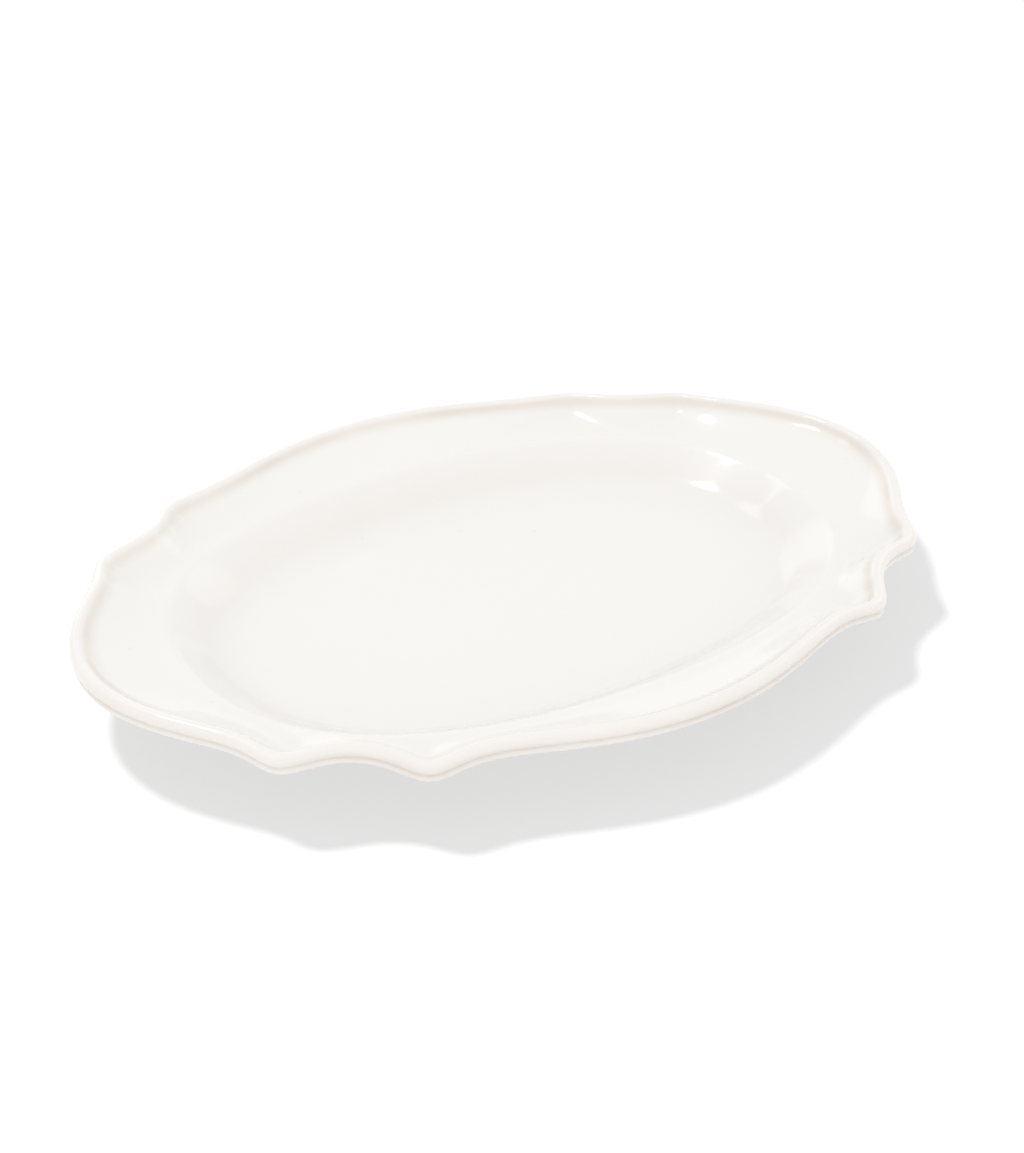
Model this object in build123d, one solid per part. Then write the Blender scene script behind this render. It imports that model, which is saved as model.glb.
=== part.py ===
from build123d import *
from math import cos, exp, hypot, pi, radians, sin, sqrt, tan
import os

# Oval china serving platter with a lobed, creased flange and a rolled lip.
# Millimetres, +Z up. The origin is at the middle of the plane that the foot stands on,
# +X runs along the platter's length and +Y across it.

# Well: the hollow inside the shoulder, measured on the glazed face.
WELL_HALF_LENGTH = 146.6
WELL_HALF_WIDTH = 105.4
WELL_SQUARENESS = 0.022
FLOOR_HEIGHT = 9.0
SHOULDER_HEIGHT = 23.5

# Wall of the well: a broad fillet out of the floor, a straight slope, a rounded shoulder.
# Runs and places are distances inside the shoulder; an ease is how long a bend's handle is.
WALL_RUN = 36.0
WALL_FOOT = 14.3
WALL_TOP = 2.5
WALL_RISE = tan(radians(33))
FLOOR_EASE = 9.0
WALL_EASE = 7.0
SHOULDER_EASE = 2.2

# Flange: its width from shoulder to edge, as a mean and two waves round the oval.
FLANGE_WIDTH = 31.1
END_GAIN = 2.5
LOBE_SWELL = 9.7
FLANGE_SAG = 2.0
FLANGE_START = 0.10
FLANGE_STOP = 0.86

# Relief of the flange: a fold running in from each cusp, and a puff between each pair.
FOLD_DEPTH = 1.2
FOLD_SHARPNESS = 0.10
LOBE_PUFF = 1.5
PUFF_PLACE = radians(44.5)
PUFF_SHARPNESS = 0.06

# Rim: the height of the top of the lip, as a mean and two waves round the oval.
RIM_HEIGHT = 36.0
END_LIFT = 0.9
CORNER_LIFT = 0.3

# Cusps: two at each corner, where the outline comes to a rounded point.
# Each has its place round the oval, its reach beyond the flange and its dip.
CUSPS = ((radians(35.4), 10.0, 2.6), (radians(53.6), 11.5, 3.3))
CUSP_SHARPNESS = 0.062
DIP_SHARPNESS = 0.06
DIP_FADE = 0.40

# Lip: a rolled bead on the flange's edge, with a smaller roll under it.
BEAD_RADIUS = 2.8
CREST_FLAT = 0.6
CREST_ANGLES = (128.0, 96.0)
BEAD_ANGLES = (84.0, -52.0)
ROLL_RADIUS = 1.6
ROLL_SETBACK = 0.6
ROLL_DROP = 6.8
ROLL_ANGLES = (55.0, -75.0)
LIP_WIDTH = 8.5
LIP_RISE = 3.8
LIP_EASE = (1.9, 1.5)
LIP_BACK_EASE = (2.0, 0.5)

# Thickness of the flange, glaze included, and of the glaze itself.
FLANGE_THICKNESS = 5.6
SHOULDER_UNDERCUT = 2.3
UNDER_SHOULDER_LIFT = 0.6
UNDER_SHOULDER_EASE = (6.3, 3.0)
GLAZE = 0.5

# Foot: an oval ring under the floor, tapering down to a bare bearing face.
BASE_HEIGHT = 4.8
FOOT_INSET = 24.0
FOOT_FLARE = (6.0, 2.5)
FOOT_WIDTH = 8.6
FOOT_TAPER = 1.0
BARE_HEIGHT = 1.2
FOOT_ROUND = 0.8

RING_POINTS = 240


def cusp_peak(angle, centre, sharpness):
    """One rounded point of height 1, repeated in the four quarters of the oval."""
    nearness = abs(cos(angle)) * cos(centre) + abs(sin(angle)) * sin(centre)
    return exp(1 - sqrt(1 + 2 * (1 - nearness) / sharpness**2))


def flange_width(angle):
    """Width of the flange from the shoulder to the platter's edge."""
    width = FLANGE_WIDTH + END_GAIN * cos(2 * angle) + LOBE_SWELL * cos(4 * angle)
    for centre, reach, _ in CUSPS:
        width += reach * cusp_peak(angle, centre, CUSP_SHARPNESS)
    return width


def rim_height(angle, share=1.0):
    """Height of the top of the lip, which dips at each cusp.

    The dips are sharp at the lip, where share is 1, and broaden towards the shoulder.
    """
    height = RIM_HEIGHT + END_LIFT * cos(2 * angle) - CORNER_LIFT * cos(4 * angle)
    for centre, _, dip in CUSPS:
        height -= dip * cusp_peak(angle, centre, DIP_SHARPNESS + DIP_FADE * (1 - share)**2)
    return height


def bend(start, start_handle, end_handle, end, steps):
    """Points along a cubic curve, without its last one."""
    points = []
    for step in range(steps):
        t = step / steps
        s = 1 - t
        weights = (s**3, 3 * s * s * t, 3 * s * t * t, t**3)
        poles = (start, start_handle, end_handle, end)
        points.append(tuple(sum(w * p[axis] for w, p in zip(weights, poles)) for axis in (0, 1)))
    return points


def arc(centre, radius, angles, steps):
    """Points along an arc, both ends included."""
    first, last = angles
    points = []
    for step in range(steps + 1):
        turn = radians(first + (last - first) * step / steps)
        points.append((centre[0] + radius * cos(turn), centre[1] + radius * sin(turn)))
    return points


def shift(point, out, rise):
    """A point of the section, moved."""
    return (point[0] + out, point[1] + rise)


def flange_relief(angle, share):
    """How far the flange is puffed up, or folded down where it is under 0.

    It is greatest two thirds of the way out and nothing at the shoulder and the lip.
    """
    relief = LOBE_PUFF * cusp_peak(angle, PUFF_PLACE, PUFF_SHARPNESS)
    for centre, _, _ in CUSPS:
        relief -= FOLD_DEPTH * cusp_peak(angle, centre, FOLD_SHARPNESS)
    return relief * share * share * (1 - share) * 27 / 4


def flange_point(angle, share):
    """A point of the flange's face: share 0 is the shoulder, 1 the foot of the lip."""
    edge = rim_height(angle, share) - LIP_RISE
    run = flange_width(angle) - LIP_WIDTH
    straight = SHOULDER_HEIGHT + (edge - SHOULDER_HEIGHT) * share
    sag = FLANGE_SAG * share * (1 - share)
    return run * share, straight - sag + flange_relief(angle, share)


def wall_section(angle):
    """The well's wall, from the edge of the floor up to the flange."""
    floor_edge = (-WALL_RUN, FLOOR_HEIGHT)
    wall_foot = (-WALL_FOOT, SHOULDER_HEIGHT - WALL_FOOT * WALL_RISE)
    wall_top = (-WALL_TOP, SHOULDER_HEIGHT - WALL_TOP * WALL_RISE)
    fillet = bend(floor_edge, shift(floor_edge, FLOOR_EASE, 0),
                  shift(wall_foot, -WALL_EASE, -WALL_EASE * WALL_RISE), wall_foot, 6)
    slope = [wall_foot, ((wall_foot[0] + wall_top[0]) / 2, (wall_foot[1] + wall_top[1]) / 2)]
    shoulder = bend(wall_top, shift(wall_top, SHOULDER_EASE, SHOULDER_EASE * WALL_RISE),
                    flange_point(angle, FLANGE_START / 3), flange_point(angle, FLANGE_START), 3)
    return fillet + slope + shoulder


def lip_section(angle):
    """The rolled lip, from its inner foot over the bead to the roll under it."""
    width = flange_width(angle)
    top = rim_height(angle)
    crest = arc((width - BEAD_RADIUS - CREST_FLAT, top - BEAD_RADIUS), BEAD_RADIUS,
                CREST_ANGLES, 2)
    inner_face = bend(flange_point(angle, FLANGE_STOP), flange_point(angle, 1.0),
                      shift(crest[0], -LIP_EASE[0], -LIP_EASE[1]), crest[0], 4)
    bead = arc((width - BEAD_RADIUS, top - BEAD_RADIUS), BEAD_RADIUS, BEAD_ANGLES, 7)
    roll = arc((width - ROLL_SETBACK - ROLL_RADIUS, top - ROLL_DROP), ROLL_RADIUS,
               ROLL_ANGLES, 4)
    return inner_face + crest + bead + roll


def under_flange(angle, share):
    """A point of the flange's underside, below flange_point."""
    out, height = flange_point(angle, share)
    return out + SHOULDER_UNDERCUT * (1 - share), height - FLANGE_THICKNESS


def under_section(angle):
    """The underside, from behind the lip to the top of the foot."""
    lip_end = lip_section(angle)[-1]
    lip_back = bend(lip_end, shift(lip_end, -LIP_BACK_EASE[0], -LIP_BACK_EASE[1]),
                    under_flange(angle, 0.95), under_flange(angle, 0.8), 3)[1:]
    underside = [under_flange(angle, share) for share in (0.8, 0.65, 0.5, 0.35, 0.2)]
    under_shoulder = (SHOULDER_UNDERCUT, SHOULDER_HEIGHT - FLANGE_THICKNESS + UNDER_SHOULDER_LIFT)
    foot_top = (-FOOT_INSET, BASE_HEIGHT)
    under_wall = bend(under_shoulder,
                      shift(under_shoulder, -UNDER_SHOULDER_EASE[0], -UNDER_SHOULDER_EASE[1]),
                      shift(foot_top, FOOT_FLARE[0], FOOT_FLARE[1]), foot_top, 6)
    return lip_back + underside + under_wall + [foot_top]


def body_section(angle):
    """Section of the glazed platter: (distance outside the shoulder, height)."""
    steps = 4
    flange = []
    for step in range(steps):
        share = FLANGE_START + (FLANGE_STOP - FLANGE_START) * step / steps
        flange.append(flange_point(angle, share))
    return wall_section(angle) + flange + lip_section(angle) + under_section(angle)


def inset(section, depth):
    """The section moved inwards by depth, square to itself.

    Its first point moves straight down and its last one straight in.
    """
    moved = [(section[0][0], section[0][1] - depth)]
    for before, here, after in zip(section, section[1:], section[2:]):
        run, rise = after[0] - before[0], after[1] - before[1]
        length = hypot(run, rise)
        moved.append((here[0] + depth * rise / length, here[1] - depth * run / length))
    moved.append((section[-1][0] - depth, section[-1][1]))
    return moved


def place(angle, out, height):
    """A point of the platter, from its distance outside the shoulder's squarish oval."""
    swell = 1 + WELL_SQUARENESS * (1 - cos(4 * angle))
    swell_slope = 4 * WELL_SQUARENESS * sin(4 * angle)
    across = WELL_HALF_WIDTH * (cos(angle) * swell + sin(angle) * swell_slope)
    along = WELL_HALF_LENGTH * (sin(angle) * swell - cos(angle) * swell_slope)
    length = hypot(across, along)
    return (WELL_HALF_LENGTH * cos(angle) * swell + out * across / length,
            WELL_HALF_WIDTH * sin(angle) * swell + out * along / length, height)


def rings(section_at):
    """Closed smooth wires, one through each point of a section that goes round the oval."""
    knots = [index / RING_POINTS for index in range(RING_POINTS + 1)]
    columns = []
    for knot in knots[:-1]:
        angle = 2 * pi * knot
        columns.append([place(angle, out, height) for out, height in section_at(angle)])
    return [Wire([Edge.make_spline(points, periodic=True, parameters=knots)])
            for points in zip(*columns)]


def oval(out, height):
    """A level ring parallel to the shoulder."""
    return rings(lambda angle: [(out, height)])[0]


def skin(wires):
    """The smooth face through a row of rings."""
    return Shell.make_loft(wires).face()


def solid(faces):
    """The solid that a closed set of faces bounds."""
    return Solid(Shell(faces))


def taper(top_out, top_height, lean):
    """Rings down one side of the foot, from its top to where the glaze stops."""
    middle_height = (BASE_HEIGHT + BARE_HEIGHT) / 2
    return [oval(top_out, top_height), oval(top_out + lean / 2, middle_height),
            oval(top_out + lean, BARE_HEIGHT)]


def foot_side(depth):
    """The foot's outer side, at a depth under the glaze."""
    return taper(-FOOT_INSET - depth, BASE_HEIGHT, -FOOT_LEAN)


def foot_bore(depth):
    """The foot's inner side, at a height of glaze over the clay."""
    return taper(-FOOT_INSET - GLAZE - FOOT_WIDTH - depth, BASE_HEIGHT - depth, FOOT_LEAN)


def make_clay_body(clay):
    """Floor, wall, flange and lip: one pressed piece of clay, flat above and below."""
    return Solid.make_loft(clay)


def make_foot_ring(side, bore):
    """Oval ring of clay under the floor, with a flat bearing face and rounded arrises."""
    outer = -FOOT_INSET - GLAZE - FOOT_TAPER - FOOT_ROUND
    inner = -FOOT_INSET - GLAZE - FOOT_WIDTH + FOOT_TAPER + FOOT_ROUND
    outer_edge = oval(outer, 0)
    inner_edge = oval(inner, 0)
    outer_round = [side[-1], oval(outer + FOOT_ROUND * 0.65, BARE_HEIGHT / 4), outer_edge]
    inner_round = [bore[-1], oval(inner - FOOT_ROUND * 0.65, BARE_HEIGHT / 4), inner_edge]
    return solid([Face(side[0], [bore[0]]), skin(side), skin(outer_round),
                  Face(outer_edge, [inner_edge]), skin(inner_round), skin(bore)])


def make_glaze_coat(clay, side):
    """Glaze over the face, the lip and the back, as far as the foot's bare face."""
    glazed = rings(body_section)
    glazed_side = foot_side(0)
    return solid([Face(glazed[0]), skin(glazed), skin(glazed_side),
                  Face(glazed_side[-1], [side[-1]]), skin(side), skin(clay), Face(clay[0])])


def make_glaze_back_panel(bore):
    """Glaze under the floor and down the foot's inner side."""
    glazed_bore = foot_bore(GLAZE)
    return solid([Face(bore[0]), skin(bore), Face(bore[-1], [glazed_bore[-1]]),
                  skin(glazed_bore), Face(glazed_bore[0])])


FOOT_LEAN = FOOT_TAPER * (BASE_HEIGHT - BARE_HEIGHT) / BASE_HEIGHT
clay_rings = rings(lambda angle: inset(body_section(angle), GLAZE))
side_rings = foot_side(GLAZE)
bore_rings = foot_bore(0)

os.makedirs("parts", exist_ok=True)
pieces = {
    "clay_body": make_clay_body(clay_rings),
    "foot_ring": make_foot_ring(side_rings, bore_rings),
    "glaze_coat": make_glaze_coat(clay_rings, side_rings),
    "glaze_back_panel": make_glaze_back_panel(bore_rings),
}
for name, piece in pieces.items():
    export_step(piece, f"parts/{name}.step")
    box = piece.bounding_box().size
    print(f"{name}: {piece.volume / 1000:.1f} cm3, {box.X:.1f} x {box.Y:.1f} x {box.Z:.1f} mm")
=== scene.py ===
from math import cos, pi, radians, sin, tan

import bmesh
import bpy
from mathutils import Matrix, Vector


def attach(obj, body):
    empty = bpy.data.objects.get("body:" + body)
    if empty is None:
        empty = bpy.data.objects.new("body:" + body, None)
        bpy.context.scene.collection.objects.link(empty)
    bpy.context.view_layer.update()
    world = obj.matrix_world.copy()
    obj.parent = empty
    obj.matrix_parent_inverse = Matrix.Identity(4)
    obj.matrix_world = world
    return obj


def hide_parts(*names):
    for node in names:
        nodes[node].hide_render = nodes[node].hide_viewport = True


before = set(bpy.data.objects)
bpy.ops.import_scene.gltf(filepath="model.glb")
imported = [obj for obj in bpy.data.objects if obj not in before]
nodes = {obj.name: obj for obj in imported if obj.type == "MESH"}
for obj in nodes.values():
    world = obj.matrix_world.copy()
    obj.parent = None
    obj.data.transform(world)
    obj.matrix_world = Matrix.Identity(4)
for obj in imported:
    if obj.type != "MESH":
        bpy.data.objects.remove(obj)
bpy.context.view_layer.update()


# ---------------------------------------------------------------------------------------
# Clay body: floor, wall, flange and lip of the platter in one pressed piece of white
# stoneware clay. It is fired, then glazed all over, so it shows only where a chip would.
# ---------------------------------------------------------------------------------------

# Matt clay, with toasted patches a few centimetres wide and a grain finer than a millimetre.
CLAY_SURFACE = {"Roughness": 0.82, "Specular IOR Level": 0.3}
CLAY_PALE = (0.80, 0.73, 0.62, 1)
CLAY_TOASTED = (0.64, 0.53, 0.40, 1)
TOAST_SCALE = 35
TOAST_CONTRAST = 1.6
TOAST_START = 0.3
GRAIN_SCALE = 1600
GRAIN_CONTRAST = 0.5
PIT_STRENGTH = 0.5
PIT_DEPTH = 0.0001


class Field:
    """A number in a node tree, so that a rule or a pattern reads as plain arithmetic."""

    def __init__(self, tree, socket):
        self.tree = tree
        self.socket = socket

    def math(self, operation, *others, clamp=False):
        """The result of a maths node that takes this number first."""
        node = self.tree.nodes.new("ShaderNodeMath")
        node.operation = operation
        node.use_clamp = clamp
        for socket, value in zip(node.inputs, (self,) + others):
            if isinstance(value, Field):
                self.tree.links.new(value.socket, socket)
            else:
                socket.default_value = value
        return Field(self.tree, node.outputs[0])

    def __add__(self, other):
        return self.math("ADD", other)

    def __sub__(self, other):
        return self.math("SUBTRACT", other)

    def __rsub__(self, other):
        return self * -1 + other

    def __mul__(self, other):
        return self.math("MULTIPLY", other)

    def __truediv__(self, other):
        return self.math("DIVIDE", other)

    def held(self, gain=1.0):
        """The number times a gain, held between 0 and 1."""
        return self.math("MULTIPLY", gain, clamp=True)


def add_node(tree, kind, inputs=None, **settings):
    """A node with its settings, and with its inputs set or linked by name."""
    node = tree.nodes.new(kind)
    for label, value in settings.items():
        setattr(node, label, value)
    for label, value in (inputs or {}).items():
        if isinstance(value, Field):
            value = value.socket
        if isinstance(value, bpy.types.NodeSocket):
            tree.links.new(value, node.inputs[label])
        else:
            node.inputs[label].default_value = value
    return node


def new_material(name, surface):
    """A material and its shader, with the numbers that are the same everywhere set on it."""
    material = bpy.data.materials.new(name)
    material.use_nodes = True
    shader = material.node_tree.nodes["Principled BSDF"]
    for label, value in surface.items():
        shader.inputs[label].default_value = value
    return material, material.node_tree, shader


def noise(tree, coordinates, scale, detail):
    """A soft cloudy number between 0 and 1."""
    made = add_node(tree, "ShaderNodeTexNoise",
                    {"Vector": coordinates, "Scale": scale, "Detail": detail})
    return Field(tree, made.outputs[0])


def blend(tree, amount, first, second):
    """A colour between two others."""
    mix = add_node(tree, "ShaderNodeMix", data_type="RGBA")
    tree.links.new(amount.socket, mix.inputs[0])
    for slot, colour in ((6, first), (7, second)):
        if isinstance(colour, bpy.types.NodeSocket):
            tree.links.new(colour, mix.inputs[slot])
        else:
            mix.inputs[slot].default_value = colour
    return mix.outputs[2]


def make_fired_clay():
    """Pale buff clay, matt and finely grained, a little toasted in patches by the kiln."""
    material, tree, shader = new_material("fired_clay", CLAY_SURFACE)
    place = add_node(tree, "ShaderNodeTexCoord").outputs["Object"]
    toast = noise(tree, place, TOAST_SCALE, detail=3)
    grain = noise(tree, place, GRAIN_SCALE, detail=2)
    patches = toast * TOAST_CONTRAST - TOAST_START
    shade = (patches + (grain - 0.5) * GRAIN_CONTRAST).held()
    tree.links.new(blend(tree, shade, CLAY_PALE, CLAY_TOASTED), shader.inputs["Base Color"])
    pits = add_node(tree, "ShaderNodeBump",
                    {"Height": grain, "Strength": PIT_STRENGTH, "Distance": PIT_DEPTH})
    tree.links.new(pits.outputs[0], shader.inputs["Normal"])
    return material


def dress(node_name, material):
    """Gives a piece that is shown as drawn in the CAD its material."""
    mesh = nodes[node_name].data
    mesh.materials.clear()
    mesh.materials.append(material)


fired_clay = make_fired_clay()
dress("clay_body", fired_clay)


# ---------------------------------------------------------------------------------------
# Foot ring: the oval ring of the same clay that the platter stands on. Its bearing face
# is wiped bare of glaze before firing, so it is matt and slightly rough.
# ---------------------------------------------------------------------------------------
dress("foot_ring", fired_clay)


# ---------------------------------------------------------------------------------------
# Glaze coat: the glassy warm-white skin fused over the face, the lip and the back. Its
# section, from the middle of the floor to the foot, is carried round the oval by a rule
# that widens the flange and dips the rim at the eight cusps. It pools in the creases, and
# the brown it takes there and down the wall is partly painted shade.
# ---------------------------------------------------------------------------------------
MM = 0.001

# The well, in millimetres: the hollow inside the shoulder, from which its wall is measured
# inwards. An ease is how far a curve keeps to its first direction before it turns.
WELL_HALF_LENGTH = 146.6
WELL_HALF_WIDTH = 105.4
WELL_SQUARENESS = 0.022
FLOOR_HEIGHT = 9.0
SHOULDER_HEIGHT = 23.5
WALL_RUN = 36.0
WALL_FOOT = 14.3
WALL_TOP = 2.5
WALL_RISE = tan(radians(33))
FLOOR_EASE = 9.0
WALL_EASE = 7.0
SHOULDER_EASE = 2.2

# The flange, with a fold and a fine crease running in from each cusp and a puffed lobe
# between each pair. Folds and lobes are at their full height two thirds of the way out and
# the creases at four fifths, to which the two gains bring them.
FLANGE_WIDTH = 31.08
END_GAIN = 2.5
LOBE_SWELL = 9.7
FLANGE_SAG = 2.0
FLANGE_START = 0.10
FLANGE_STOP = 0.86
FOLD_DEPTH = 1.2
FOLD_SHARPNESS = 0.10
LOBE_PUFF = 1.5
PUFF_PLACE = 44.5
PUFF_SHARPNESS = 0.06
RELIEF_GAIN = 6.75
CREASE_DEPTH = 0.4
CREASE_SHARPNESS = 0.014
CREASE_GAIN = 12.2

# The rim and its cusps, each with its place in degrees, its reach and its dip.
RIM_HEIGHT = 36.0
END_LIFT = 0.9
CORNER_LIFT = 0.3
CUSPS = {"End cusp": (35.4, 10.0, 2.6), "Side cusp": (53.6, 11.5, 3.3)}
CUSP_SHARPNESS = 0.062
DIP_SHARPNESS = 0.06
DIP_FADE = 0.40

# The rolled lip: a bead with a flattened crest, and a smaller roll under it. An arc runs
# from one angle to another, in degrees up from straight outwards.
LIP_WIDTH = 8.5
LIP_RISE = 3.8
LIP_EASE = (1.9, 1.5)
BEAD_RADIUS = 2.8
CREST_FLAT = 0.6
CREST_ARC = (128, 96)
BEAD_ARC = (84, -52)
ROLL_RADIUS = 1.6
ROLL_DROP = 6.8
ROLL_SETBACK = 0.6
ROLL_ARC = (55, -75)
LIP_BACK_EASE = (2.0, 0.5)

# The back, down to where the glaze stops on the foot. The underside's inner and outer ends
# are shares of the flange's width, as on its face. From the foot the skin is closed inside
# the clay, where nothing shows.
FLANGE_THICKNESS = 5.6
UNDERSIDE_OUTER = 0.8
UNDERSIDE_INNER = 0.2
UNDERSIDE_EASE = 0.95
SHOULDER_UNDERCUT = 2.3
UNDER_SHOULDER_LIFT = 0.6
UNDER_SHOULDER_EASE = (6.3, 3.0)
BASE_HEIGHT = 4.8
FOOT_INSET = 24.0
FOOT_FLARE = (6.0, 2.5)
FOOT_TAPER = 1.0
BARE_HEIGHT = 1.2
HIDDEN_DEPTH = 2.0
HIDDEN_HEIGHT = 6.5

# How deep the glaze has pooled along the section, from 0 to 1, with a pair for the two ends
# of an arc. In the lip's creases, on its inner face and down the wall the same number also
# paints in shade with the same brown. The lip's crease is given by how much deeper it is
# than the crest.
WALL_FOOT_POOL_AND_SHADE = 0.24
WALL_TOP_POOL_AND_SHADE = 0.12
FLANGE_POOL = 0.02
LIP_FOOT_POOL_AND_SHADE = 0.15
LIP_CREASE_POOL_AND_SHADE = 1.05
CREST_POOLS = (0.25, 0.2)
BEAD_POOLS_AND_SHADE = (0.2, 0.72)
ROLL_POOLS_AND_SHADE = (0.66, 0.35)
FOOT_POOL = 0.6
GLAZE_EDGE_POOL = 0.8

# How many steps draw the way round and each stretch of the section. The steps round the
# oval are gathered towards its corners.
ROUND_STEPS = 640
STEP_GATHER = 0.13
FLOOR_STEPS = 6
WALL_FOOT_STEPS = 14
WALL_STEPS = 5
SHOULDER_STEPS = 20
FLANGE_STEPS = 14
LIP_FACE_STEPS = 18
CREST_STEPS = 8
BEAD_STEPS = 22
ROLL_STEPS = 8
LIP_BACK_STEPS = 4
UNDERSIDE_STEPS = 6
UNDER_WALL_STEPS = 12
SAME_POINT = 1e-6                # metres

# The glaze itself: a clear glassy surface over a soft body, its colours, and its patterns.
GLAZE_SURFACE = {"Roughness": 0.3, "Specular IOR Level": 0.25,
                 "Coat Weight": 1.0, "Coat Roughness": 0.05, "Coat IOR": 1.5}
GLAZE_WARM = (0.935, 0.912, 0.878, 1)
GLAZE_COOL = (0.925, 0.908, 0.884, 1)
# The brown of pooled glaze, which also paints shade into the creases and onto the wall.
POOLED_AND_SHADED_TINT = (0.795, 0.725, 0.65, 1)
POOL_AND_SHADE_NARROWING = 1.5
POOL_AND_SHADE_GAIN = 1.2
CLOUD_SCALE = 16
CLOUD_CONTRAST = 2
CLOUD_START = 0.1
MOTTLE_SCALE = 130
MOTTLE_CONTRAST = 0.05
RIPPLE_SCALE = 140
RIPPLE_STRENGTH = 0.25
RIPPLE_DEPTH = 0.00004

# The kiln specks: a few to a hand's breadth, most of them much smaller than the largest.
SPECK_TINT = (0.58, 0.50, 0.40, 1)
SPECK_STRENGTH = 0.16
SPECK_SPACING = 0.0135
SPECK_RADIUS = 0.0013
SPECK_RARITY = 2
SPECK_EDGE = 1.4


def station(share, out, climb, up, pool_and_shade=0.0):
    """One point of the section.

    share is how much of the flange's width it moves with, and out its distance beyond
    that; climb is how much of the rim's height it moves with, and up its height beyond.
    The last is how deep the glaze has pooled there, from 0 to 1; in the creases and on the
    wall it also paints in shade.
    """
    return Vector((share, out, climb, up, pool_and_shade))


def bend(start, start_handle, end_handle, end, steps):
    """Stations along a cubic curve, without its last one."""
    row = []
    for step in range(steps):
        t = step / steps
        s = 1 - t
        row.append(start * s**3 + start_handle * (3 * s * s * t)
                   + end_handle * (3 * s * t * t) + end * t**3)
    return row


def roll(centre, radius, arc, pool_and_shade_ends, steps):
    """Stations round an arc that hangs on the rim, both ends included."""
    row = []
    for step in range(steps + 1):
        t = step / steps
        turn = radians(arc[0] + (arc[1] - arc[0]) * t)
        pool_and_shade = pool_and_shade_ends[0] + (pool_and_shade_ends[1] - pool_and_shade_ends[0]) * t
        row.append(station(1, centre[0] + radius * cos(turn),
                           1, centre[1] + radius * sin(turn), pool_and_shade))
    return row


def on_flange(share, pool_and_shade=0.0):
    """The flange's face: share 0 is the shoulder and 1 the foot of the lip."""
    sag = FLANGE_SAG * share * (1 - share)
    return station(share, -LIP_WIDTH * share, share,
                   SHOULDER_HEIGHT * (1 - share) - LIP_RISE * share - sag, pool_and_shade)


def under_flange(share):
    """The flange's underside, below on_flange."""
    return on_flange(share) + station(0, SHOULDER_UNDERCUT * (1 - share), 0, -FLANGE_THICKNESS)


def wall_stations():
    """The well's wall: a fillet out of the floor, a slope and the rounded shoulder."""
    floor_edge = station(0, -WALL_RUN, 0, FLOOR_HEIGHT)
    # The tint at the wall's foot and top is pooled glaze and partly painted shade.
    foot = station(0, -WALL_FOOT, 0, SHOULDER_HEIGHT - WALL_FOOT * WALL_RISE, WALL_FOOT_POOL_AND_SHADE)
    top = station(0, -WALL_TOP, 0, SHOULDER_HEIGHT - WALL_TOP * WALL_RISE, WALL_TOP_POOL_AND_SHADE)
    along = station(0, 1, 0, WALL_RISE)
    fillet = bend(floor_edge, floor_edge + station(0, FLOOR_EASE, 0, 0),
                  foot - along * WALL_EASE, foot, WALL_FOOT_STEPS)
    slope = bend(foot, foot.lerp(top, 1 / 3), foot.lerp(top, 2 / 3), top, WALL_STEPS)
    shoulder = bend(top, top + along * SHOULDER_EASE, on_flange(FLANGE_START / 3),
                    on_flange(FLANGE_START), SHOULDER_STEPS)
    return fillet + slope + shoulder


def flange_stations():
    """The dished face of the flange, with a little glaze gathered at its outer edge."""
    row = []
    for step in range(FLANGE_STEPS):
        t = step / FLANGE_STEPS
        row.append(on_flange(FLANGE_START + (FLANGE_STOP - FLANGE_START) * t,
                             FLANGE_POOL * t**2))
    return row


def lip_stations():
    """The rolled lip, from its inner foot over the bead to the roll under it."""
    crest = roll((-BEAD_RADIUS - CREST_FLAT, -BEAD_RADIUS), BEAD_RADIUS, CREST_ARC,
                 CREST_POOLS, CREST_STEPS)
    # The brown of the crease and the inner face is pooled glaze and painted shade.
    ease = station(0, LIP_EASE[0], 0, LIP_EASE[1], -LIP_CREASE_POOL_AND_SHADE)
    inner_face = bend(on_flange(FLANGE_STOP, FLANGE_POOL), on_flange(1.0, LIP_FOOT_POOL_AND_SHADE),
                      crest[0] - ease, crest[0], LIP_FACE_STEPS)
    bead = roll((-BEAD_RADIUS, -BEAD_RADIUS), BEAD_RADIUS, BEAD_ARC, BEAD_POOLS_AND_SHADE, BEAD_STEPS)
    under_roll = roll((-ROLL_SETBACK - ROLL_RADIUS, -ROLL_DROP), ROLL_RADIUS, ROLL_ARC,
                      ROLL_POOLS_AND_SHADE, ROLL_STEPS)
    return inner_face + crest + bead + under_roll


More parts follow.
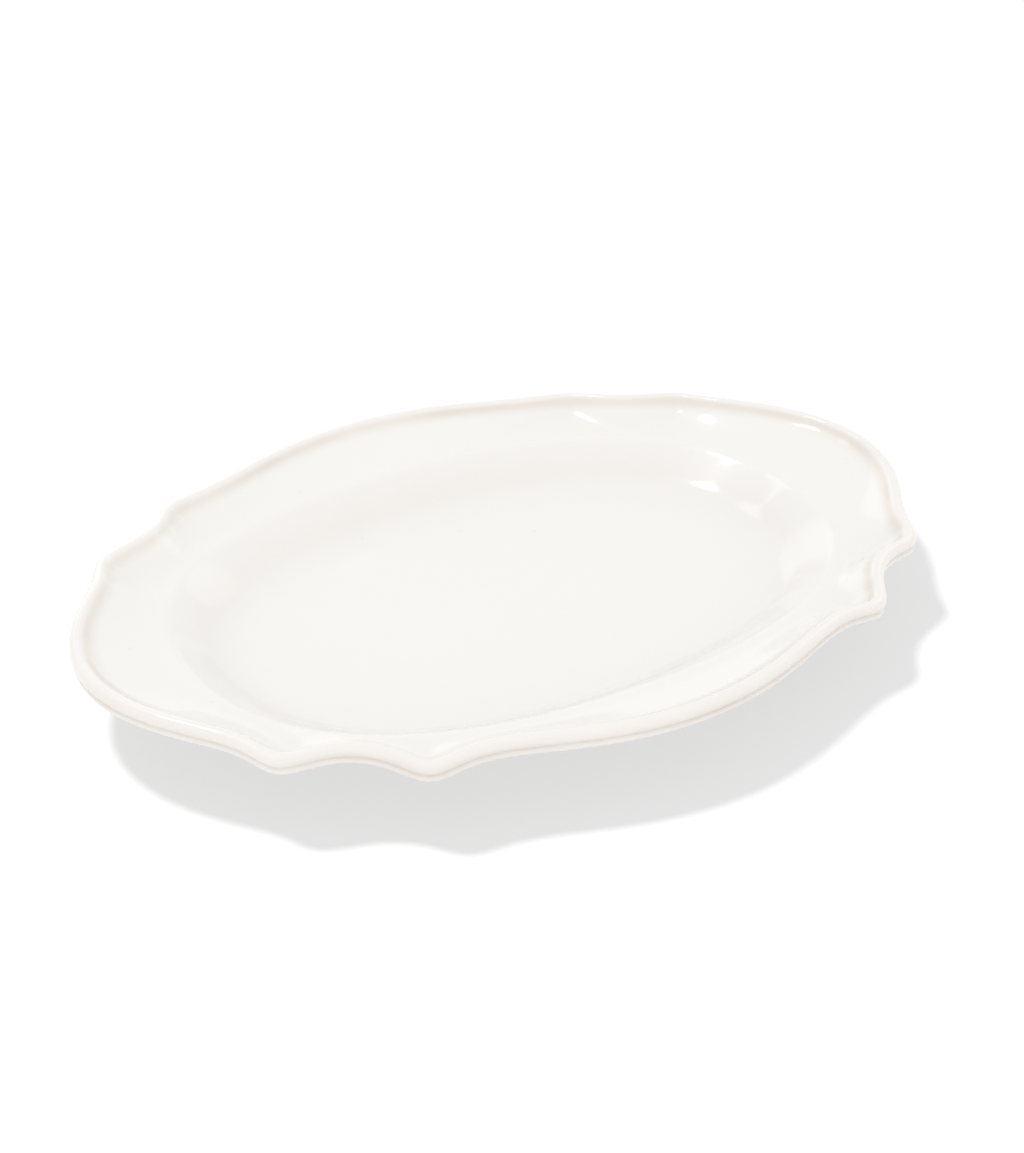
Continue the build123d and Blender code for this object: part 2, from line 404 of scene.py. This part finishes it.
def back_stations(lip_end):
    """The back, from behind the lip under the flange and wall and down the foot."""
    ease = station(0, LIP_BACK_EASE[0], 0, LIP_BACK_EASE[1])
    lip_back = bend(lip_end, lip_end - ease, under_flange(UNDERSIDE_EASE),
                    under_flange(UNDERSIDE_OUTER), LIP_BACK_STEPS)[1:]
    underside_run = UNDERSIDE_OUTER - UNDERSIDE_INNER
    underside = [under_flange(UNDERSIDE_OUTER - underside_run * step / UNDERSIDE_STEPS)
                 for step in range(UNDERSIDE_STEPS + 1)]
    under_shoulder = station(0, SHOULDER_UNDERCUT, 0,
                             SHOULDER_HEIGHT - FLANGE_THICKNESS + UNDER_SHOULDER_LIFT)
    shoulder_ease = station(0, UNDER_SHOULDER_EASE[0], 0, UNDER_SHOULDER_EASE[1])
    foot_top = station(0, -FOOT_INSET, 0, BASE_HEIGHT, FOOT_POOL)
    foot_ease = station(0, FOOT_FLARE[0], 0, FOOT_FLARE[1], -FOOT_POOL)
    under_wall = bend(under_shoulder, under_shoulder - shoulder_ease, foot_top + foot_ease,
                      foot_top, UNDER_WALL_STEPS)
    lean = FOOT_TAPER * (BASE_HEIGHT - BARE_HEIGHT) / BASE_HEIGHT
    glaze_edge = station(0, -FOOT_INSET - lean, 0, BARE_HEIGHT, GLAZE_EDGE_POOL)
    return lip_back + underside + under_wall + [foot_top, glaze_edge]


def hidden_stations(glaze_edge):
    """The two corners that close the skin inside the clay, in from the glaze's edge."""
    return [glaze_edge - station(0, HIDDEN_DEPTH, 0, 0),
            station(0, glaze_edge[1] - HIDDEN_DEPTH, 0, HIDDEN_HEIGHT)]


def section_mesh(name, stations, spreads):
    """The section as loose points that carry their stations as attributes.

    A spread under 1 draws a point in towards the middle of the floor.
    """
    mesh = bpy.data.meshes.new(name)
    mesh.from_pydata([(0, 0, 0)] * len(stations), [], [])
    columns = dict(zip(("share", "out", "climb", "up", "pool_and_shade"), zip(*stations)))
    columns["spread"] = spreads
    for label, values in columns.items():
        mesh.attributes.new(label, "FLOAT", "POINT").data.foreach_set("value", values)
    made = bpy.data.objects.new(name, mesh)
    bpy.context.scene.collection.objects.link(made)
    return made


def new_tree(name, inputs):
    """A geometry tree with a Geometry in and out and a named number for each size."""
    tree = bpy.data.node_groups.new(name, "GeometryNodeTree")
    tree.interface.new_socket("Geometry", in_out="INPUT", socket_type="NodeSocketGeometry")
    tree.interface.new_socket("Geometry", in_out="OUTPUT", socket_type="NodeSocketGeometry")
    for label, value in inputs.items():
        kind = "NodeSocketInt" if isinstance(value, int) else "NodeSocketFloat"
        socket = tree.interface.new_socket(label, in_out="INPUT", socket_type=kind)
        socket.default_value = value
    return tree


def carry_round(name, sizes, material):
    """The tree that carries a section's points round the oval and joins them as a skin."""
    tree = new_tree(name, sizes)
    entry = tree.nodes.new("NodeGroupInput")
    size = {label: Field(tree, entry.outputs[label]) for label in sizes}

    count = add_node(tree, "GeometryNodeAttributeDomainSize",
                     {"Geometry": entry.outputs["Geometry"]}, component="MESH")
    points = Field(tree, count.outputs["Point Count"])
    grid = add_node(tree, "GeometryNodeMeshGrid",
                    {"Vertices X": size["Round steps"] + 1, "Vertices Y": points})
    index = Field(tree, add_node(tree, "GeometryNodeInputIndex").outputs[0])
    column = (index / points).math("FLOOR")
    row = index - column * points

    def read(label):
        """What the section carries under that name at this row."""
        named = add_node(tree, "GeometryNodeInputNamedAttribute", {"Name": label},
                         data_type="FLOAT")
        sample = add_node(tree, "GeometryNodeSampleIndex",
                          {"Geometry": entry.outputs["Geometry"],
                           "Value": named.outputs["Attribute"], "Index": row},
                          data_type="FLOAT", domain="POINT")
        return Field(tree, sample.outputs[0])

    share, out, climb, up, spread = map(read, ("share", "out", "climb", "up", "spread"))
    turn = column / size["Round steps"] * (2 * pi)
    angle = turn + size["Step gather"] * (turn * 4).math("SINE")
    cosine, sine = angle.math("COSINE"), angle.math("SINE")

    def peak(place, sharpness):
        """1 at that place in every quarter, falling away on both sides like a tent."""
        nearness = (cosine.math("ABSOLUTE") * place.math("COSINE")
                    + sine.math("ABSOLUTE") * place.math("SINE"))
        chord = (2 - nearness * 2) / (sharpness * sharpness)
        return (1 - (chord + 1).math("SQRT")).math("EXPONENT")

    # The width and height of the flange and its relief at this angle.
    twice, fourfold = (angle * 2).math("COSINE"), (angle * 4).math("COSINE")
    width = size["Flange width"] + size["End gain"] * twice + size["Lobe swell"] * fourfold
    height = size["Rim height"] + size["End lift"] * twice - size["Corner lift"] * fourfold
    inward = 1 - climb
    dip_sharpness = size["Dip sharpness"] + size["Dip fade"] * inward * inward
    relief = size["Lobe puff"] * peak(size["Puff place"].math("RADIANS"), size["Puff sharpness"])
    creases = []
    for cusp in CUSPS:
        place = size[cusp + " place"].math("RADIANS")
        width = width + size[cusp + " reach"] * peak(place, size["Cusp sharpness"])
        height = height - size[cusp + " dip"] * peak(place, dip_sharpness)
        relief = relief - size["Fold depth"] * peak(place, size["Fold sharpness"])
        creases.append(size["Crease depth"] * peak(place, size["Crease sharpness"]))
    relief_fade = share * share * (1 - share) * RELIEF_GAIN
    crease_fade = share.math("POWER", 4) * (1 - share) * CREASE_GAIN
    level = (climb * height + up + relief * relief_fade
             - (creases[0] + creases[1]) * crease_fade)

    # The slightly squared oval, and the way out from it that the distance is laid along.
    distance = share * width + out
    swell = size["Squareness"] * (1 - fourfold) + 1
    swell_slope = size["Squareness"] * 4 * (angle * 4).math("SINE")
    across = size["Half width"] * (cosine * swell + sine * swell_slope)
    along = size["Half length"] * (sine * swell - cosine * swell_slope)
    steepness = (across * across + along * along).math("SQRT")
    x = (size["Half length"] * cosine * swell + distance * across / steepness) * spread
    y = (size["Half width"] * sine * swell + distance * along / steepness) * spread
    position = add_node(tree, "ShaderNodeCombineXYZ",
                        {"X": x * MM, "Y": y * MM, "Z": level * MM})

    move = add_node(tree, "GeometryNodeSetPosition",
                    {"Geometry": grid.outputs["Mesh"], "Position": position.outputs[0]})
    # Each point keeps its pooling, which in the creases and on the wall also paints in shade.
    pooled_and_shaded = add_node(tree, "GeometryNodeStoreNamedAttribute",
                      {"Geometry": move.outputs[0], "Name": "pool_and_shade", "Value": read("pool_and_shade")},
                      data_type="FLOAT", domain="POINT")
    merge = add_node(tree, "GeometryNodeMergeByDistance",
                     {"Geometry": pooled_and_shaded.outputs[0], "Distance": SAME_POINT})
    smooth = add_node(tree, "GeometryNodeSetShadeSmooth", {"Geometry": merge.outputs[0]})
    realize = add_node(tree, "GeometryNodeRealizeInstances", {"Geometry": smooth.outputs[0]})
    finish = add_node(tree, "GeometryNodeSetMaterial",
                      {"Geometry": realize.outputs[0], "Material": material})
    add_node(tree, "NodeGroupOutput", {"Geometry": finish.outputs[0]})
    return tree


def grow(name, source, tree, sizes):
    """The plain mesh object that a tree makes of a source, which is then thrown away."""
    modifier = source.modifiers.new("rule", "NODES")
    modifier.node_group = tree
    for item in tree.interface.items_tree:
        if item.in_out == "INPUT" and item.name in sizes:
            modifier[item.identifier] = sizes[item.name]
    graph = bpy.context.evaluated_depsgraph_get()
    mesh = bpy.data.meshes.new_from_object(source.evaluated_get(graph))
    bpy.data.objects.remove(source)
    mesh.name = name
    made = bpy.data.objects.new(name, mesh)
    bpy.context.scene.collection.objects.link(made)
    return made


def face_outwards(piece):
    """Joins doubled points and turns every face outwards."""
    shape = bmesh.new()
    shape.from_mesh(piece.data)
    bmesh.ops.remove_doubles(shape, verts=shape.verts, dist=SAME_POINT)
    bmesh.ops.recalc_face_normals(shape, faces=shape.faces)
    shape.to_mesh(piece.data)
    shape.free()


def kiln_specks():
    """A pattern of a few soft pinholes: 1 in the middle of each, 0 between them."""
    group = bpy.data.node_groups.new("kiln_specks", "ShaderNodeTree")
    sockets = (("Vector", "INPUT", "NodeSocketVector"), ("Spacing", "INPUT", "NodeSocketFloat"),
               ("Radius", "INPUT", "NodeSocketFloat"), ("Mask", "OUTPUT", "NodeSocketFloat"))
    for label, way, kind in sockets:
        group.interface.new_socket(label, in_out=way, socket_type=kind)
    entry = group.nodes.new("NodeGroupInput")
    spacing = Field(group, entry.outputs["Spacing"])
    radius = Field(group, entry.outputs["Radius"])
    cells = add_node(group, "ShaderNodeTexVoronoi",
                     {"Vector": entry.outputs["Vector"], "Scale": spacing.math("POWER", -1)})
    distance = Field(group, cells.outputs["Distance"]) * spacing
    chance = Field(group, add_node(group, "ShaderNodeSeparateColor",
                                   {"Color": cells.outputs["Color"]}).outputs[0])
    own_radius = radius * chance.math("POWER", SPECK_RARITY)
    add_node(group, "NodeGroupOutput", {"Mask": (1 - distance / own_radius).held(SPECK_EDGE)})
    return group


def make_glaze():
    """Warm-white glaze under a clear glassy surface, browned by pooling and painted shade."""
    material, tree, shader = new_material("warm_white_glaze", GLAZE_SURFACE)
    place = add_node(tree, "ShaderNodeTexCoord").outputs["Object"]
    cloud = noise(tree, place, CLOUD_SCALE, detail=2)
    mottle = noise(tree, place, MOTTLE_SCALE, detail=3)
    pool_and_shade = add_node(tree, "ShaderNodeAttribute", attribute_name="pool_and_shade").outputs["Fac"]
    # The pool mark, pooled glaze mixed with painted crease and wall shade, browns the body.
    depth = Field(tree, pool_and_shade).math("POWER", POOL_AND_SHADE_NARROWING) * POOL_AND_SHADE_GAIN
    clouded = depth * (cloud * CLOUD_CONTRAST - CLOUD_START)
    pooled_and_shaded = (clouded + (mottle - 0.5) * MOTTLE_CONTRAST).math("MAXIMUM", 0)
    body = blend(tree, cloud, GLAZE_WARM, GLAZE_COOL)
    tinted = blend(tree, pooled_and_shaded, body, POOLED_AND_SHADED_TINT)

    specks = add_node(tree, "ShaderNodeGroup", node_tree=kiln_specks())
    tree.links.new(place, specks.inputs["Vector"])
    specks.inputs["Spacing"].default_value = SPECK_SPACING
    specks.inputs["Radius"].default_value = SPECK_RADIUS
    faint = Field(tree, specks.outputs["Mask"]) * SPECK_STRENGTH
    tree.links.new(blend(tree, faint, tinted, SPECK_TINT), shader.inputs["Base Color"])

    ripple = add_node(tree, "ShaderNodeBump",
                      {"Height": noise(tree, place, RIPPLE_SCALE, detail=1),
                       "Strength": RIPPLE_STRENGTH, "Distance": RIPPLE_DEPTH})
    for socket in ("Normal", "Coat Normal"):
        tree.links.new(ripple.outputs[0], shader.inputs[socket])
    return material


glaze = make_glaze()
oval_sizes = {
    "Round steps": ROUND_STEPS, "Step gather": STEP_GATHER,
    "Half length": WELL_HALF_LENGTH, "Half width": WELL_HALF_WIDTH, "Squareness": WELL_SQUARENESS,
    "Flange width": FLANGE_WIDTH, "End gain": END_GAIN, "Lobe swell": LOBE_SWELL,
    "Rim height": RIM_HEIGHT, "End lift": END_LIFT, "Corner lift": CORNER_LIFT,
    "Cusp sharpness": CUSP_SHARPNESS, "Dip sharpness": DIP_SHARPNESS, "Dip fade": DIP_FADE,
    "Fold depth": FOLD_DEPTH, "Fold sharpness": FOLD_SHARPNESS,
    "Crease depth": CREASE_DEPTH, "Crease sharpness": CREASE_SHARPNESS,
    "Lobe puff": LOBE_PUFF, "Puff place": PUFF_PLACE, "Puff sharpness": PUFF_SHARPNESS,
}
for cusp, (place, reach, dip) in CUSPS.items():
    oval_sizes[cusp + " place"] = place
    oval_sizes[cusp + " reach"] = reach
    oval_sizes[cusp + " dip"] = dip

# The floor is the section's first station, drawn in to the middle step by step, and its last
# station is drawn in there at once, to close the skin.
lip = lip_stations()
section = wall_stations() + flange_stations() + lip + back_stations(lip[-1])
section += hidden_stations(section[-1])
floor_spreads = [step / FLOOR_STEPS for step in range(FLOOR_STEPS)]
coat_section = section_mesh("coat_section", [section[0]] * FLOOR_STEPS + section + section[-1:],
                            floor_spreads + [1.0] * len(section) + [0.0])
coat_rule = carry_round("coat_rule", oval_sizes, glaze)
glaze_coat = grow("glaze_coat_skin", coat_section, coat_rule, oval_sizes)
face_outwards(glaze_coat)
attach(glaze_coat, "root")
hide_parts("glaze_coat")


# ---------------------------------------------------------------------------------------
# Glaze back panel: the same glaze under the floor, inside the foot. It was poured in and
# run round before firing, and stops just short of the bearing face.
# ---------------------------------------------------------------------------------------
dress("glaze_back_panel", glaze)


# ---------------------------------------------------------------------------------------
# Table and lights: a white table in a white surround, a lamp above and behind the platter
# that throws its shadow, a weak fill, and lit cards that show only as glints in the glaze.
# The camera stands in front of the platter and looks down on it.
# ---------------------------------------------------------------------------------------
AZIMUTH, ELEVATION, ROLL = radians(-30.91), radians(30.13), radians(-1.24)
FOCUS = Vector((0.0184, 0.0277, 0))
DISTANCE = 0.9061
LENS = 63.74
NEAREST_SEEN = 0.05

# The table lies a hair under the foot, so that the two don't fight for the same plane.
TABLE_REACH = 6
TABLE_DROP = 0.0002
TABLE_COLOUR = (0.19, 0.19, 0.19, 1)
TABLE_GLOW = 0.61
TABLE_GLOW_ON_MATT = 0.41
SURROUND = 1.0

# The lamps: which way their light falls, how wide they look in degrees, and how strong.
# The key shows only as a glint, and its twin, which throws the shadow, lights only the table.
KEY = Vector((0.214, -0.508, -1))
KEY_BREADTH = 8.5
KEY_ENERGY = 0.25
SHADOW_ENERGY = 5.5
FILL = Vector((0.63, 0.75, -0.21))
FILL_BREADTH = 50
FILL_ENERGY = 0.17

# The lit cards: azimuth, height, breadth and rise in degrees, and brightness.
SOFTBOXES = (
    ("low_backdrop", 68, 6.5, 74, 11, 1.12),
    ("back_softbox", 80, 21, 26, 18, 1.4),
    ("top_panel", 92, 47, 12, 6, 2.0),
    ("side_panel", 19, 36, 18, 16, 1.4),
)
SOFTBOX_DISTANCE = 2.0


def place_camera():
    """The camera, tilted by ROLL about its own line of sight."""
    back = Vector((sin(AZIMUTH) * cos(ELEVATION), -cos(AZIMUTH) * cos(ELEVATION),
                   sin(ELEVATION)))
    right = Vector((cos(AZIMUTH), sin(AZIMUTH), 0))
    above = back.cross(right)
    tilted_right = right * cos(ROLL) + above * sin(ROLL)
    tilted_above = above * cos(ROLL) - right * sin(ROLL)
    lens = bpy.data.cameras.new("camera")
    lens.lens = LENS
    lens.clip_start = NEAREST_SEEN
    camera = bpy.data.objects.new("camera", lens)
    bpy.context.scene.collection.objects.link(camera)
    turn = Matrix((tilted_right, tilted_above, back)).transposed().to_4x4()
    camera.matrix_world = Matrix.Translation(FOCUS + back * DISTANCE) @ turn
    bpy.context.scene.camera = camera


def staged_sheet(name, half_length, half_width, material):
    """A flat sheet of the studio, lying level until it is turned or moved."""
    mesh = bpy.data.meshes.new(name)
    corners = [(-half_length, -half_width, 0), (half_length, -half_width, 0),
               (half_length, half_width, 0), (-half_length, half_width, 0)]
    mesh.from_pydata(corners, [], [(0, 1, 2, 3)])
    mesh.materials.append(material)
    sheet = bpy.data.objects.new(name, mesh)
    bpy.context.scene.collection.objects.link(sheet)
    return sheet


def glowing(name):
    """A material of nothing but an even glow, and its node tree and glow."""
    material = bpy.data.materials.new(name)
    material.use_nodes = True
    tree = material.node_tree
    tree.nodes.clear()
    return material, tree, add_node(tree, "ShaderNodeEmission", {"Color": (1, 1, 1, 1)})


def make_table():
    """A white table that glows towards the camera and the glaze, and less onto the matt clay."""
    material, tree, glow = glowing("white_table")
    path = add_node(tree, "ShaderNodeLightPath")
    seen = Field(tree, path.outputs["Is Camera Ray"])
    for ray in ("Is Glossy Ray", "Is Transmission Ray"):
        seen = seen.math("MAXIMUM", Field(tree, path.outputs[ray]))
    strength = seen * (TABLE_GLOW - TABLE_GLOW_ON_MATT) + TABLE_GLOW_ON_MATT
    tree.links.new(strength.socket, glow.inputs["Strength"])
    matte = add_node(tree, "ShaderNodeBsdfDiffuse", {"Color": TABLE_COLOUR})
    both = tree.nodes.new("ShaderNodeAddShader")
    tree.links.new(glow.outputs[0], both.inputs[0])
    tree.links.new(matte.outputs[0], both.inputs[1])
    tree.links.new(both.outputs[0], add_node(tree, "ShaderNodeOutputMaterial").inputs[0])
    table = staged_sheet("table", TABLE_REACH, TABLE_REACH, material)
    table.location.z = -TABLE_DROP
    return table


def make_softbox(name, azimuth, height, breadth, rise, brightness):
    """A lit card that faces the platter and is seen only as a reflection in it."""
    material, tree, glow = glowing(name + "_cloth")
    glow.inputs["Strength"].default_value = brightness
    tree.links.new(glow.outputs[0], add_node(tree, "ShaderNodeOutputMaterial").inputs[0])
    card = staged_sheet(name, SOFTBOX_DISTANCE * tan(radians(breadth / 2)),
                        SOFTBOX_DISTANCE * tan(radians(rise / 2)), material)
    azimuth, height = radians(azimuth), radians(height)
    way = Vector((cos(azimuth) * cos(height), sin(azimuth) * cos(height), sin(height)))
    card.location = way * SOFTBOX_DISTANCE
    card.rotation_mode = "QUATERNION"
    card.rotation_quaternion = way.to_track_quat("Z", "Y")
    card.visible_camera = False
    card.visible_diffuse = False
    card.visible_shadow = False


def add_sun(name, energy, way, breadth):
    """A lamp so far off that its light falls the same way everywhere."""
    lamp = bpy.data.lights.new(name, "SUN")
    lamp.energy = energy
    lamp.angle = radians(breadth)
    holder = bpy.data.objects.new(name, lamp)
    bpy.context.scene.collection.objects.link(holder)
    holder.rotation_mode = "QUATERNION"
    holder.rotation_quaternion = way.to_track_quat("-Z", "Y")
    return holder


place_camera()
table = make_table()
for softbox in SOFTBOXES:
    make_softbox(*softbox)
add_sun("key", KEY_ENERGY, KEY, KEY_BREADTH).visible_diffuse = False
add_sun("low_fill", FILL_ENERGY, FILL, FILL_BREADTH).visible_glossy = False
shadow_lamp = add_sun("shadow_lamp", SHADOW_ENERGY, KEY, KEY_BREADTH)
table_only = bpy.data.collections.new("table_only")
table_only.objects.link(table)
shadow_lamp.light_linking.receiver_collection = table_only

world = bpy.data.worlds.new("white_surround")
bpy.context.scene.world = world
world.use_nodes = True
world.node_tree.nodes["Background"].inputs["Color"].default_value = (1, 1, 1, 1)
world.node_tree.nodes["Background"].inputs["Strength"].default_value = SURROUND

# The glaze mirrors itself many times over where it is seen edge-on, so light is followed
# for more turns than usual.
cycles = bpy.context.scene.cycles
cycles.diffuse_bounces = 8
cycles.glossy_bounces = 16
cycles.max_bounces = 24
bpy.context.scene.view_settings.view_transform = "Standard"
